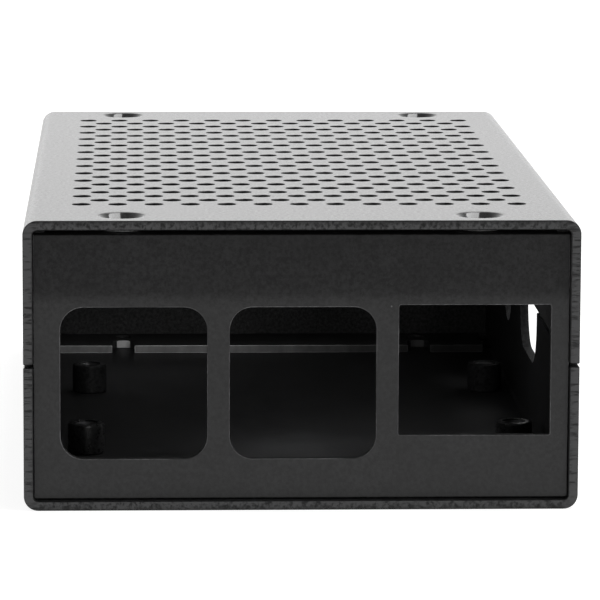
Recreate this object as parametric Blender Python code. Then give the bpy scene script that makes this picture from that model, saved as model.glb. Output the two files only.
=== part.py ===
"""Sheet-metal case for a single board computer.

Two folded shells close on each other at mid-height: a perforated cover above and a
tray below. A front panel with three port openings and a plain rear panel stand
between them on folded flanges. Press nuts in the upper flanges take the cover's
screws, and four standoffs on the tray's floor carry the board.

Metres, +Z up, front towards -Y, origin under the middle of the case.
"""

import math

import bmesh
import bpy
from mathutils import Matrix, Vector

# Closed case
CASE_LENGTH = 0.1074
CASE_HEIGHT = 0.03154
SHEET = 0.00105               # thickness of the cover and the tray
BEND_RADIUS = 0.0005          # inside radius of their folds
WALL_END_ROUND = 0.00028      # deburred ends of the walls at the seam
SEAM_HEIGHT = 0.01577         # middle of the seam between cover and tray
SEAM_GAP = 0.0003
TRAY_INSET = 0.0001           # tray walls stand this far inside the cover's

# Ventilation holes in the cover
VENT_DIAMETER = 0.0020
VENT_PITCH = 0.0040           # between neighbours
VENT_STAGGER = math.radians(60)
VENT_FRONT_MARGIN = 0.01366   # front edge to the first row
VENT_REAR_MARGIN = 0.0100     # least distance from the last row to the rear edge
VENT_SIDE_MARGIN = 0.0055     # least distance from a row's ends to the sides
VENT_OFFSET_X = 0.0002
VENT_SIDES = 6

# Screw holes through cover and tray
SCREW_INSET_SIDE = 0.01059    # from the sides of the cover
SCREW_INSET_FRONT = 0.0046
SCREW_INSET_REAR = 0.0041
HEAD_ANGLE = math.radians(90)  # included angle of the countersunk heads
COVER_RIM_RADIUS = 0.0025
COVER_BORE_RADIUS = 0.0015
DIMPLE_DEPTH = 0.0004         # how far the pressed dimple stands below the cover
DIMPLE_FLAT_RADIUS = 0.0024
TRAY_RIM_RADIUS = 0.0021
TRAY_BORE_RADIUS = 0.0012

# Front and rear panels
PANEL_SHEET = 0.0010
PANEL_RECESS = 0.0008         # behind the ends of the shells
PANEL_SIDE_CLEARANCE = 0.0002
PANEL_FLOOR_CLEARANCE = 0.0002
DIMPLE_CLEARANCE = 0.00026    # between the cover's dimples and the upper flange
FOLD_OUTER_RADIUS = 0.0004    # grooved folds with a crisp outer corner
FLANGE_DEPTH = 0.0104         # from the panel's outer face
FLANGE_END_INSET = 0.0012     # flanges stop short of the panel's ends
FLANGE_RELIEF = 0.0002        # stub of the fold left beside the flanges
SLOT_WIDTH = 0.0029           # open slots in the lower flanges

# Port openings in the front panel, left to right, with the bars beside them
LEFT_BAR = 0.00262
MIDDLE_BAR = 0.00244          # between neighbouring openings
RIGHT_BAR = 0.00172
USB_WIDTH = 0.01578
USB_BOTTOM = 0.00551
USB_TOP = 0.02205
USB_CORNER = 0.0025
NETWORK_WIDTH = 0.0164
NETWORK_BOTTOM = 0.00803
NETWORK_TOP = 0.02226
NETWORK_CORNER = 0.0002

# The ports set the width of the panels, and the panels set the width over the cover
PANEL_WIDTH = LEFT_BAR + 2 * USB_WIDTH + 2 * MIDDLE_BAR + NETWORK_WIDTH + RIGHT_BAR
CASE_WIDTH = PANEL_WIDTH + 2 * (PANEL_SIDE_CLEARANCE + SHEET + TRAY_INSET)

# Notches in the tray's right wall, open to the seam, measured from the front edge
LONG_NOTCH_START = 0.0344
LONG_NOTCH_LENGTH = 0.0252
SHORT_NOTCH_START = 0.0686
SHORT_NOTCH_LENGTH = 0.0116
NOTCH_BOTTOM = 0.00835
NOTCH_CORNER = 0.0034

# Board standoffs, 49 mm apart across for this width
STANDOFF_INSET_LEFT = 0.00644  # from the sides of the case
STANDOFF_INSET_RIGHT = 0.00444
STANDOFF_INSET_FRONT = 0.0280  # front edge to the front pair
STANDOFF_SPAN_Y = 0.0400
STANDOFF_HEIGHT = 0.0035
STANDOFF_RADIUS = 0.0021
STANDOFF_CHAMFER = 0.0002
STANDOFF_SHANK_RADIUS = 0.0014
THREAD_RADIUS = 0.00105
THREAD_DEPTH = 0.0028
STANDOFF_SEAT_GAP = 0.0002

# Press nuts in the upper flanges
NUT_HEAD_RADIUS = 0.0023
NUT_HEAD_HEIGHT = 0.0013
NUT_SHANK_RADIUS = 0.0017
NUT_SEAT_GAP = 0.0002

SHANK_CLEARANCE = 0.0002      # round the shanks of nuts and standoffs
CUT_OVERRUN = 0.0010          # how far cutters reach past the sheet
ROUND_END_SHARE = 0.96        # of the half width, so that the arcs of a slot's end don't meet

# Facets of round stretches
BEND_FACETS = 4
SMALL_ROUND_FACETS = 2
CORNER_FACETS = 4
SCREW_FACETS = 12
TURNED_FACETS = 10
SMOOTH_BELOW = math.radians(50)  # steeper edges stay crisp


def clear_scene():
    """Remove every object of the open file."""
    for obj in list(bpy.data.objects):
        bpy.data.objects.remove(obj, do_unlink=True)


def finish_material(name, colour, roughness, metallic=0.0):
    """A Principled material in the colour of one of the case's finishes."""
    mat = bpy.data.materials.new(name)
    mat.use_nodes = True
    shader = mat.node_tree.nodes["Principled BSDF"]
    shader.inputs["Base Color"].default_value = (*colour, 1.0)
    shader.inputs["Roughness"].default_value = roughness
    shader.inputs["Metallic"].default_value = metallic
    mat.diffuse_color = (*colour, 1.0)
    return mat


def add_object(name, mesh_data, mat=None):
    """Link a bmesh as a named object, with its normals pointing out."""
    bmesh.ops.recalc_face_normals(mesh_data, faces=mesh_data.faces[:])
    mesh = bpy.data.meshes.new(name)
    mesh_data.to_mesh(mesh)
    mesh_data.free()
    if mat is not None:
        mesh.materials.append(mat)
    obj = bpy.data.objects.new(name, mesh)
    bpy.context.scene.collection.objects.link(obj)
    return obj


def as_tool(obj):
    """Mark an object as a cutter or a pressing tool, which is no piece of the case."""
    obj.hide_render = True
    obj.display_type = "WIRE"
    return obj


def apply_tool(target, tool, operation):
    """Cut a tool out of a piece, or add it to the piece."""
    mod = target.modifiers.new(f"{operation.title()} {tool.name}", "BOOLEAN")
    mod.operation = operation
    mod.solver = "EXACT"
    mod.object = tool


def rounded(corners):
    """Turn corners (a, b, radius, facets) into outline points with true arcs."""
    points = []
    count = len(corners)
    for index, (a, b, radius, facets) in enumerate(corners):
        here = Vector((a, b))
        if radius <= 0.0:
            points.append(here)
            continue
        before = Vector(corners[index - 1][:2]) - here
        after = Vector(corners[(index + 1) % count][:2]) - here
        before.normalize()
        after.normalize()
        half = before.angle(after) / 2
        centre = here + (before + after).normalized() * (radius / math.sin(half))
        start = here + before * (radius / math.tan(half)) - centre
        end = here + after * (radius / math.tan(half)) - centre
        turn = start.angle_signed(end)
        for step in range(facets + 1):
            points.append(centre + Matrix.Rotation(-turn * step / facets, 2) @ start)
    return points


def prism(mesh_data, outline, place, sweep):
    """Extrude a closed outline; place() gives each outline point its 3-D position."""
    ring = [mesh_data.verts.new(place(point)) for point in outline]
    face = mesh_data.faces.new(ring)
    grown = bmesh.ops.extrude_face_region(mesh_data, geom=[face])["geom"]
    moved = [item for item in grown if isinstance(item, bmesh.types.BMVert)]
    bmesh.ops.translate(mesh_data, verts=moved, vec=sweep)


def turned(mesh_data, profile, centre, facets):
    """Spin a profile of (radius, z) points round a vertical axis at centre (x, y)."""
    axis = Vector((centre[0], centre[1], 0.0))
    line = [mesh_data.verts.new(axis + Vector((r, 0.0, z))) for r, z in profile]
    closed = profile[0][0] > 0.0
    ends = line[1:] + line[:1] if closed else line[1:]
    edges = [mesh_data.edges.new(pair) for pair in zip(line, ends)]
    before = set(mesh_data.verts) - set(line)
    bmesh.ops.spin(mesh_data, geom=line + edges, cent=axis, axis=(0, 0, 1), dvec=(0, 0, 0),
                   angle=math.tau, steps=facets, use_merge=True, use_duplicate=False)
    fresh = [vert for vert in mesh_data.verts if vert not in before]
    bmesh.ops.remove_doubles(mesh_data, verts=fresh, dist=1e-6)


def shell_outline(half_width, fold_z, end_z):
    """Section of a folded shell: flat side at fold_z, walls ending at end_z."""
    inward = 1.0 if fold_z < end_z else -1.0
    outer = (BEND_RADIUS + SHEET, BEND_FACETS)
    inner = (BEND_RADIUS, BEND_FACETS)
    lip = (WALL_END_ROUND, SMALL_ROUND_FACETS)
    inside = half_width - SHEET
    inner_z = fold_z + inward * SHEET
    return rounded([
        (-half_width, end_z, *lip),
        (-half_width, fold_z, *outer),
        (half_width, fold_z, *outer),
        (half_width, end_z, *lip),
        (inside, end_z, *lip),
        (inside, inner_z, *inner),
        (-inside, inner_z, *inner),
        (-inside, end_z, *lip),
    ])


def folded_shell(name, half_width, fold_z, end_z, mat):
    """One folded sheet as long as the case."""
    mesh_data = bmesh.new()
    outline = shell_outline(half_width, fold_z, end_z)
    front = -CASE_LENGTH / 2
    prism(mesh_data, outline, lambda p: (p.x, front, p.y), (0.0, CASE_LENGTH, 0.0))
    return add_object(name, mesh_data, mat)


def screw_places():
    """Names and places of the four screw axes, the same in cover and tray."""
    reach = CASE_WIDTH / 2 - SCREW_INSET_SIDE
    rows = (("front", -CASE_LENGTH / 2 + SCREW_INSET_FRONT),
            ("rear", CASE_LENGTH / 2 - SCREW_INSET_REAR))
    sides = (("left", -reach), ("right", reach))
    return {f"{row}_{side}": (x, y) for row, y in rows for side, x in sides}


def standoff_places():
    """Names and places of the four board standoffs."""
    front = -CASE_LENGTH / 2 + STANDOFF_INSET_FRONT
    rows = (("front", front), ("rear", front + STANDOFF_SPAN_Y))
    sides = (("left", -CASE_WIDTH / 2 + STANDOFF_INSET_LEFT),
             ("right", CASE_WIDTH / 2 - STANDOFF_INSET_RIGHT))
    return {f"{row}_{side}": (x, y) for row, y in rows for side, x in sides}


def countersink_profile(surface_z, outward, rim_radius, bore_radius, far_z):
    """Cutter for a countersunk hole whose cone opens at surface_z towards outward."""
    slope = math.tan(HEAD_ANGLE / 2)
    cone_depth = (rim_radius - bore_radius) / slope
    return [
        (0.0, surface_z + outward * CUT_OVERRUN),
        (rim_radius + CUT_OVERRUN * slope, surface_z + outward * CUT_OVERRUN),
        (bore_radius, surface_z - outward * cone_depth),
        (bore_radius, far_z),
        (0.0, far_z),
    ]


def vent_places():
    """Centres of the staggered ventilation holes, each second row one hole shorter."""
    row_spacing = VENT_PITCH * math.sin(VENT_STAGGER)
    depth = CASE_LENGTH - VENT_FRONT_MARGIN - VENT_REAR_MARGIN
    rows = int(depth / row_spacing) + 1
    longest = int((CASE_WIDTH - 2 * VENT_SIDE_MARGIN) / VENT_PITCH) + 1
    places = []
    for row in range(rows):
        holes = longest - row % 2
        y = -CASE_LENGTH / 2 + VENT_FRONT_MARGIN + row * row_spacing
        first = VENT_OFFSET_X - (holes - 1) * VENT_PITCH / 2
        places += [(first + hole * VENT_PITCH, y) for hole in range(holes)]
    return places


def vent_cutter():
    """All ventilation holes as one staggered field of short round bars."""
    mesh_data = bmesh.new()
    height = SHEET + 2 * CUT_OVERRUN
    middle = CASE_HEIGHT - SHEET / 2
    turn = Matrix.Rotation(math.pi / VENT_SIDES, 4, "Z")
    for x, y in vent_places():
        bmesh.ops.create_cone(
            mesh_data, cap_ends=True, segments=VENT_SIDES, radius1=VENT_DIAMETER / 2,
            radius2=VENT_DIAMETER / 2, depth=height,
            matrix=Matrix.Translation((x, y, middle)) @ turn)
    return as_tool(add_object("vent_cutter", mesh_data))


def make_top_cover(mat):
    """Perforated cover with four dimpled screw holes."""
    cover = folded_shell("top_cover", CASE_WIDTH / 2, CASE_HEIGHT,
                         SEAM_HEIGHT + SEAM_GAP / 2, mat)
    underside = CASE_HEIGHT - SHEET
    dimple_floor = underside - DIMPLE_DEPTH
    dimple_radius = DIMPLE_FLAT_RADIUS + DIMPLE_DEPTH / math.tan(HEAD_ANGLE / 2)
    root = SHEET / 2          # the dimple grows out of the middle of the sheet
    dimples = bmesh.new()
    bores = bmesh.new()
    bore = countersink_profile(CASE_HEIGHT, 1, COVER_RIM_RADIUS, COVER_BORE_RADIUS,
                               dimple_floor - CUT_OVERRUN)
    for centre in screw_places().values():
        turned(dimples, [(0.0, underside + root), (dimple_radius + root, underside + root),
                         (DIMPLE_FLAT_RADIUS, dimple_floor), (0.0, dimple_floor)],
               centre, SCREW_FACETS)
        turned(bores, bore, centre, SCREW_FACETS)
    apply_tool(cover, as_tool(add_object("dimple_press", dimples)), "UNION")
    apply_tool(cover, as_tool(add_object("cover_bore_cutter", bores)), "DIFFERENCE")
    apply_tool(cover, vent_cutter(), "DIFFERENCE")
    return cover


def wall_notch(mesh_data, start, length):
    """Cutter for a notch in the tray's right wall, open at the wall's upper end."""
    near = start - CASE_LENGTH / 2
    far = near + length
    wall_outside = CASE_WIDTH / 2 + CUT_OVERRUN
    wall_inside = CASE_WIDTH / 2 - TRAY_INSET - SHEET - CUT_OVERRUN
    top = SEAM_HEIGHT + CUT_OVERRUN
    corner = (NOTCH_CORNER, CORNER_FACETS)
    outline = rounded([(near, top, 0, 0), (near, NOTCH_BOTTOM, *corner),
                       (far, NOTCH_BOTTOM, *corner), (far, top, 0, 0)])
    prism(mesh_data, outline, lambda p: (wall_inside, p.x, p.y),
          (wall_outside - wall_inside, 0.0, 0.0))


def make_bottom_tray(mat):
    """Tray with countersunk screw holes, standoff holes and two wall notches."""
    tray = folded_shell("bottom_tray", CASE_WIDTH / 2 - TRAY_INSET, 0.0,
                        SEAM_HEIGHT - SEAM_GAP / 2, mat)

    holes = bmesh.new()
    bore = countersink_profile(0.0, -1, TRAY_RIM_RADIUS, TRAY_BORE_RADIUS,
                               SHEET + CUT_OVERRUN)
    for centre in screw_places().values():
        turned(holes, bore, centre, SCREW_FACETS)
    shank_hole = STANDOFF_SHANK_RADIUS + SHANK_CLEARANCE
    for centre in standoff_places().values():
        turned(holes, [(0.0, -CUT_OVERRUN), (shank_hole, -CUT_OVERRUN),
                       (shank_hole, SHEET + CUT_OVERRUN), (0.0, SHEET + CUT_OVERRUN)],
               centre, SCREW_FACETS)
    apply_tool(tray, as_tool(add_object("tray_hole_cutter", holes)), "DIFFERENCE")

    notches = bmesh.new()
    wall_notch(notches, LONG_NOTCH_START, LONG_NOTCH_LENGTH)
    wall_notch(notches, SHORT_NOTCH_START, SHORT_NOTCH_LENGTH)
    apply_tool(tray, as_tool(add_object("notch_cutter", notches)), "DIFFERENCE")
    return tray


def panel_span():
    """Lower and upper edge of the two end panels."""
    bottom = SHEET + PANEL_FLOOR_CLEARANCE
    top = CASE_HEIGHT - SHEET - DIMPLE_DEPTH - DIMPLE_CLEARANCE
    return bottom, top


def make_panel(name, side, mat):
    """End panel folded from one sheet; side is -1 at the front and 1 at the rear."""
    bottom, top = panel_span()
    half_width = PANEL_WIDTH / 2
    outer_y = side * (CASE_LENGTH / 2 - PANEL_RECESS)
    inner_y = outer_y - side * PANEL_SHEET
    flange_y = outer_y - side * FLANGE_DEPTH
    fold = (FOLD_OUTER_RADIUS, SMALL_ROUND_FACETS)
    channel = bmesh.new()
    section = rounded([
        (flange_y, bottom, 0, 0), (outer_y, bottom, *fold), (outer_y, top, *fold),
        (flange_y, top, 0, 0), (flange_y, top - PANEL_SHEET, 0, 0),
        (inner_y, top - PANEL_SHEET, 0, 0), (inner_y, bottom + PANEL_SHEET, 0, 0),
        (flange_y, bottom + PANEL_SHEET, 0, 0)])
    prism(channel, section, lambda p: (-half_width, p.x, p.y), (2 * half_width, 0.0, 0.0))
    panel = add_object(name, channel, mat)
    apply_tool(panel, flange_cutter(f"{name}_flange_cutter", side), "DIFFERENCE")
    return panel


def flange_cutter(name, side):
    """Relieved ends of both flanges, slots of the lower and nut holes of the upper one."""
    bottom, top = panel_span()
    half_width = PANEL_WIDTH / 2
    outer_y = side * (CASE_LENGTH / 2 - PANEL_RECESS)
    flange_y = outer_y - side * FLANGE_DEPTH
    mouth = flange_y - side * CUT_OVERRUN
    mesh_data = bmesh.new()

    relief = outer_y - side * (PANEL_SHEET + FLANGE_RELIEF)
    low, high = bottom - CUT_OVERRUN, top + CUT_OVERRUN
    for sign in (-1, 1):
        start = sign * (half_width - FLANGE_END_INSET)
        end = sign * (half_width + CUT_OVERRUN)
        corners = [Vector((start, mouth)), Vector((end, mouth)),
                   Vector((end, relief)), Vector((start, relief))]
        prism(mesh_data, corners, lambda p: (p.x, p.y, low), (0.0, 0.0, high - low))

    row = "front" if side < 0 else "rear"
    nut_hole = NUT_SHANK_RADIUS + SHANK_CLEARANCE
    hole_low, hole_high = top - 2 * PANEL_SHEET, top + PANEL_SHEET
    slot_low, slot_high = bottom - PANEL_FLOOR_CLEARANCE, bottom + 2 * PANEL_SHEET
    half = SLOT_WIDTH / 2
    round_end = half * ROUND_END_SHARE
    for place, (x, y) in screw_places().items():
        if not place.startswith(row):
            continue
        turned(mesh_data, [(0.0, hole_low), (nut_hole, hole_low), (nut_hole, hole_high),
                           (0.0, hole_high)], (x, y), SCREW_FACETS)
        reach = y + side * half
        outline = rounded([(x - half, mouth, 0, 0), (x + half, mouth, 0, 0),
                           (x + half, reach, round_end, CORNER_FACETS),
                           (x - half, reach, round_end, CORNER_FACETS)])
        prism(mesh_data, outline, lambda p: (p.x, p.y, slot_low),
              (0.0, 0.0, slot_high - slot_low))
    return as_tool(add_object(name, mesh_data))


def port_cutter():
    """The three port openings of the front panel."""
    outer_y = -CASE_LENGTH / 2 + PANEL_RECESS
    usb = (USB_WIDTH, USB_BOTTOM, USB_TOP, USB_CORNER)
    network = (NETWORK_WIDTH, NETWORK_BOTTOM, NETWORK_TOP, NETWORK_CORNER)
    left = -PANEL_WIDTH / 2 + LEFT_BAR
    mesh_data = bmesh.new()
    for width, bottom, top, radius in (usb, usb, network):
        right = left + width
        arc = (radius, CORNER_FACETS)
        outline = rounded([(left, bottom, *arc), (right, bottom, *arc),
                           (right, top, *arc), (left, top, *arc)])
        prism(mesh_data, outline, lambda p: (p.x, outer_y - CUT_OVERRUN, p.y),
              (0.0, PANEL_SHEET + 2 * CUT_OVERRUN, 0.0))
        left = right + MIDDLE_BAR
    return as_tool(add_object("port_cutter", mesh_data))


def make_front_panel(mat):
    """Front panel with two round-cornered openings and one square one."""
    panel = make_panel("front_panel", -1, mat)
    apply_tool(panel, port_cutter(), "DIFFERENCE")
    return panel


def make_standoff(name, centre, mat):
    """Round standoff whose shank is swaged into the tray's floor."""
    seat = SHEET + STANDOFF_SEAT_GAP
    top = SHEET + STANDOFF_HEIGHT
    foot = SHANK_CLEARANCE / 2
    mesh_data = bmesh.new()
    turned(mesh_data, [
        (0.0, top - THREAD_DEPTH), (THREAD_RADIUS, top - THREAD_DEPTH),
        (THREAD_RADIUS, top), (STANDOFF_RADIUS - STANDOFF_CHAMFER, top),
        (STANDOFF_RADIUS, top - STANDOFF_CHAMFER), (STANDOFF_RADIUS, seat),
        (STANDOFF_SHANK_RADIUS, seat), (STANDOFF_SHANK_RADIUS, foot), (0.0, foot)],
        centre, TURNED_FACETS)
    return add_object(name, mesh_data, mat)


def make_press_nut(name, centre, mat):
    """Press nut with its head below the upper flange and its shank in the flange."""
    _, flange_top = panel_span()
    head_top = flange_top - PANEL_SHEET - NUT_SEAT_GAP
    head_bottom = head_top - NUT_HEAD_HEIGHT
    mesh_data = bmesh.new()
    turned(mesh_data, [
        (THREAD_RADIUS, head_bottom), (NUT_HEAD_RADIUS, head_bottom),
        (NUT_HEAD_RADIUS, head_top), (NUT_SHANK_RADIUS, head_top),
        (NUT_SHANK_RADIUS, flange_top), (THREAD_RADIUS, flange_top)],
        centre, TURNED_FACETS)
    return add_object(name, mesh_data, mat)


def smooth_round_faces(obj):
    """Shade bends and turned faces smooth and keep the cut edges crisp."""
    obj.data.shade_smooth()
    obj.data.set_sharp_from_angle(angle=SMOOTH_BELOW)


def build():
    """Model the whole case."""
    clear_scene()
    coat = finish_material("black_powder_coat", (0.022, 0.022, 0.023), 0.42)
    panel_coat = finish_material("black_panel_coat", (0.026, 0.026, 0.027), 0.5)
    post_coat = finish_material("coated_standoff", (0.03, 0.03, 0.031), 0.35)
    nut_steel = finish_material("zinc_steel", (0.45, 0.45, 0.46), 0.35, 1.0)

    pieces = [make_top_cover(coat), make_bottom_tray(coat),
              make_front_panel(panel_coat), make_panel("rear_panel", 1, panel_coat)]
    for place, centre in standoff_places().items():
        pieces.append(make_standoff(f"standoff_{place}", centre, post_coat))
    for place, centre in screw_places().items():
        pieces.append(make_press_nut(f"press_nut_{place}", centre, nut_steel))
    for piece in pieces:
        smooth_round_faces(piece)


build()
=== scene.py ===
"""Looks of the sheet-metal computer case: fine shells, panels, fittings, coats and studio."""

import math

import bmesh
import bpy
from mathutils import Matrix, Vector


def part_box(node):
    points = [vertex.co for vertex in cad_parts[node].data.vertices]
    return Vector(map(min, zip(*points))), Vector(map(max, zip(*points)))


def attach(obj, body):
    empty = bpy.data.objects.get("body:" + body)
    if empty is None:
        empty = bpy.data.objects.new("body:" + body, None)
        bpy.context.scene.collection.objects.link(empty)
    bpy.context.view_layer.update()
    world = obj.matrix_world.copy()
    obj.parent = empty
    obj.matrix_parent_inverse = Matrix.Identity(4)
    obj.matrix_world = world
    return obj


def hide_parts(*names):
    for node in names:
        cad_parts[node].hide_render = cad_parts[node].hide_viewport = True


bl_info = {
    "name": "Sheet-metal computer case",
    "version": (1, 0, 0),
    "blender": (4, 5, 0),
    "location": "3D View > Sidebar > Case",
    "description": "Dresses the perforated case with its fine shells, panels, fittings and coats",
    "category": "Object",
}

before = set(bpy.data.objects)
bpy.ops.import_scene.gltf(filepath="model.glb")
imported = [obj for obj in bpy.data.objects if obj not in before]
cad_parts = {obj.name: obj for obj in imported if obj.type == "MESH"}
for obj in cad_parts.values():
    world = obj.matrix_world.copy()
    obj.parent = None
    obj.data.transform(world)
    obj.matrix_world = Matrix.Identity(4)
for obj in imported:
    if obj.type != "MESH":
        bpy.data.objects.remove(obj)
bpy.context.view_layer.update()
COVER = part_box("top_cover")
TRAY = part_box("bottom_tray")
TRAY[0].x, TRAY[1].x = COVER[0].x, COVER[1].x   # the walls of both shells line up
PLACES = ("front_left", "front_right", "rear_left", "rear_right")

SMOOTH_BELOW = math.radians(22)   # edges bent more than this stay crisp
STEEP = math.radians(60)          # edges bent more than this are deburred
MERGE = 2e-6                      # points closer than this are one
OVERRUN = 0.001                   # how far cutters reach past the sheet
FLAT_MARGIN = 0.0003              # strip of the flat beside its folds that holes keep off
VENT_ROWS = 25
VENTS_IN_ROW = 13                 # one less in each second row
VENT_STAGGER = math.radians(60)
DIMPLE_ROOT = 0.00065             # how far a dimple's soft root reaches past its rim
THREAD_PITCH = 0.00045
THREAD_CUT = 0.45                 # depth of a thread in pitches
LEVEL, SLOPING, UPRIGHT = 0.9999, 0.93, 0.5   # how far a face's normal points up or along
SLOT_END = 0.8                    # the same for the bare end of a slot
ROUND_END = 0.98                  # radius of a slot's end in half widths, so its arcs don't meet

# facets of the round shapes
FOLD_STEPS, CORNER_STEPS, PANEL_FOLD_STEPS, WALL_END_STEPS, DEBURR_STEPS = 12, 12, 6, 4, 2
VENT_STEPS, DIMPLE_STEPS, BORE_STEPS, POST_HOLE_STEPS, SLOT_STEPS = 24, 64, 48, 32, 10

# material slots of the shells and the panels; slot 4 is the holes' coat on a shell
# and the slots' bare end on a panel
CUT_EDGE, WORN_RIM, INNER_COAT, HOLE_COAT, SINK_COAT, RUBBED_AND_HIGHLIT = 1, 2, 3, 4, 5, 6
BARE_SLOT = HOLE_COAT

# depths from a shell's outside, in sheets, at which its finishes start
SINK_START, SEAM_START, INNER_START, DIMPLE_START = 0.08, 0.3, 0.6, 1.04

# finishes of the coats: roughness, specular level, gloss, roughness of the gloss
SHELL_FINISH = (0.32, 0.25, 0.3, 0.09)
HOLE_FINISH = (0.8, 0.05, 0.0, 0.3)
SINK_FINISH = (0.5, 0.03, 1.0, 0.1)
MATTE_FINISH = (0.65, 0.2, 0.0, 0.3)
TRAY_FINISH = (0.6, 0.08, 0.25, 0.3)
PANEL_FINISH = (0.5, 0.17, 0.34, 0.05)
# lit and shaded copies of the standoffs' one coat, by where light falls: the front pair glossier
# for its glints, the rear pair duller and slightly paler so it sinks into the dark inside
LIT_FRONT_POST_FINISH = (0.3, 0.28, 0.0, 0.3)
SHADED_REAR_POST_FINISH = (0.6, 0.1, 0.1, 0.3)
THREAD_ROUGHNESS, ZINC_ROUGHNESS = 0.35, 0.38
DUST = (0.09, 0.09, 0.092)        # light grains in the coats

# the floor and what lies before it, which only the case's gloss shows
FLOOR = ((-3.0, -3.0), (3.0, 4.0), -0.00002)        # low corner, high corner, height
DARK_FLOOR = ((-3.0, -2.0), (3.0, -0.2030), -0.00001)
FLOOR_GLOW, DARK_GLOW = 0.85, 0.15
SHADE = 0.16                      # share of the glow that is left under the case
SHADE_SIDE = (0.027, 0.025)       # from the middle: where the shade starts and is full
SHADE_END = (0.0525, 0.0505)

# light from around: its strengths, and where it changes from front to back and upwards
FRONT_LIGHT, BACK_LIGHT, LIGHT_ABOVE = 0.32, 1.53, 0.3
BACKDROP = (-0.35, 0.75)
OVERHEAD = (0.45, 0.95)

# softboxes: name, place, aim, size, power; faint lights inside the case: name, place, power
SOFTBOXES = (
    ("top_softbox", (0.50, 0.05, 1.35), (0.0, 0.0, 0.0), (0.85, 0.9), 20.0),
    ("front_softbox", (0.48, -1.92, 0.26), (0.0, 0.0, 0.015), (0.36, 0.35), 5.0),
)
FILL_LIGHTS = (
    ("port_fill", (0.000, -0.024, 0.010), 0.0068),
    ("inside_fill", (-0.018, 0.025, 0.014), 0.0034),
    ("side_fill", (0.010, -0.014, 0.020), 0.0042),
)
FILL_RADIUS = 0.004

CAMERA_LENS = 249.773
CAMERA_PLACE = (-0.018366, -0.494266, 0.091266)
CAMERA_PITCH = math.radians(8.8060)   # below the horizon
CAMERA_YAW = math.radians(2.3536)     # to the right of +Y
CAMERA_ROLL = math.radians(0.2370)


def length(name, description, default):
    """A property that holds a length in metres."""
    return bpy.props.FloatProperty(name=name, description=description, default=default,
                                   subtype="DISTANCE", unit="LENGTH", precision=6)


def colour(name, description, default):
    """A property that holds a linear colour."""
    return bpy.props.FloatVectorProperty(name=name, description=description, default=default,
                                         subtype="COLOR", size=3, min=0.0, max=1.0)


class CaseSizes(bpy.types.PropertyGroup):
    """Sizes of the fine shapes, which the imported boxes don't give."""

    sheet: length("Sheet", "Thickness of the cover and the tray", 0.00105)
    bend: length("Inside bend", "Inside radius of the shells' folds", 0.0005)
    wall_round: length("Wall end", "Rounding of the walls' ends at the seam", 0.00014)
    end_round: length("Sheet end", "Deburring of the shells' front and rear ends", 0.0001)
    vent: length("Vent", "Diameter of a ventilation hole", 0.0021)
    vent_pitch: length("Vent pitch", "Distance between neighbouring holes", 0.0040)
    vent_front: length("Vent margin", "Front edge to the first row of holes", 0.01366)
    vent_shift: length("Vent shift", "Vent field's shift to the right", 0.0002)
    vent_rim: length("Vent rim", "Softened rim of a vent", 0.00005)
    screw_side: length("Screw inset", "Screw axes from the sides", 0.01059)
    screw_front: length("Screw front inset", "Screw axes from the front edge", 0.0046)
    screw_rear: length("Screw rear inset", "Screw axes from the rear edge", 0.0041)
    sink_radius: length("Countersink", "Rim radius of the cover's countersinks", 0.0025)
    bore_radius: length("Bore", "Bore radius of the cover's screw holes", 0.0015)
    dimple_depth: length("Dimple", "How far a dimple stands below the cover", 0.00048)
    tray_sink_radius: length("Tray countersink", "Rim radius below the tray", 0.0021)
    tray_bore_radius: length("Tray bore", "Bore radius of the tray's screw holes", 0.0014)
    panel: length("Panel", "Thickness of the end panels", 0.0010)
    panel_fold: length("Panel fold", "Outside radius of the panels' folds", 0.0002)
    panel_gap: length("Panel gap", "Gap between the panels and the side walls", 0.00006)
    rear_gap: length("Rear gap", "The same gap at the rear panel", 0.00001)
    panel_rise: length("Panel rise", "How far the panels rise above the packed ones", 0.00016)
    panel_seat: length("Panel seat", "Gap between the panels and the tray's floor", 0.00003)
    flange_end: length("Flange end", "Flanges stop short of the panel's ends", 0.0012)
    slot: length("Slot", "Width of the slots in the lower flanges", 0.0029)
    slot_depth: length("Slot depth", "Depth of these slots", 0.0041)
    flange_bore: length("Flange bore", "Radius of the lower flanges' screw holes", 0.0010)
    round_port_width: length("Round port", "Width of the two round-cornered ports", 0.01578)
    round_port_bottom: length("Round port sill", "Height of their lower edge", 0.00551)
    round_port_top: length("Round port top", "Height of their upper edge", 0.02205)
    round_port_corner: length("Round port corner", "Radius of their corners", 0.0025)
    square_port_width: length("Square port", "Width of the square-cornered port", 0.0164)
    square_port_bottom: length("Square port sill", "Height of its lower edge", 0.00803)
    square_port_top: length("Square port top", "Height of its upper edge", 0.02226)
    square_port_corner: length("Square port corner", "Radius of its corners", 0.0002)
    left_bar: length("Left bar", "Panel's left end to the first port", 0.00262)
    middle_bar: length("Middle bar", "Between neighbouring ports", 0.00244)
    long_notch: length("Long notch", "Front edge to the long notch", 0.0373)
    long_notch_run: length("Long notch run", "Length of the long notch", 0.0209)
    short_notch: length("Short notch", "Front edge to the short notch", 0.0690)
    short_notch_run: length("Short notch run", "Length of the short notch", 0.0108)
    notch_bottom: length("Notch", "Height of the notches' lower edge", 0.0089)
    notch_corner: length("Notch corner", "Corner radius of the notches", 0.0054)
    deburr: length("Deburring", "Softened corner of cut edges", 0.00008)
    flange_relief: length("Relief", "Stub of the fold beside the flanges", 0.0002)
    post_shank: length("Standoff shank", "Radius of the swaged shanks", 0.0014)
    nut_shank: length("Nut shank", "Radius of the press nuts' shanks", 0.0017)
    thread: length("Thread", "Inner radius of the tapped holes", 0.00105)
    thread_depth: length("Thread depth", "Depth of the standoffs' tapped holes", 0.0028)


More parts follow.
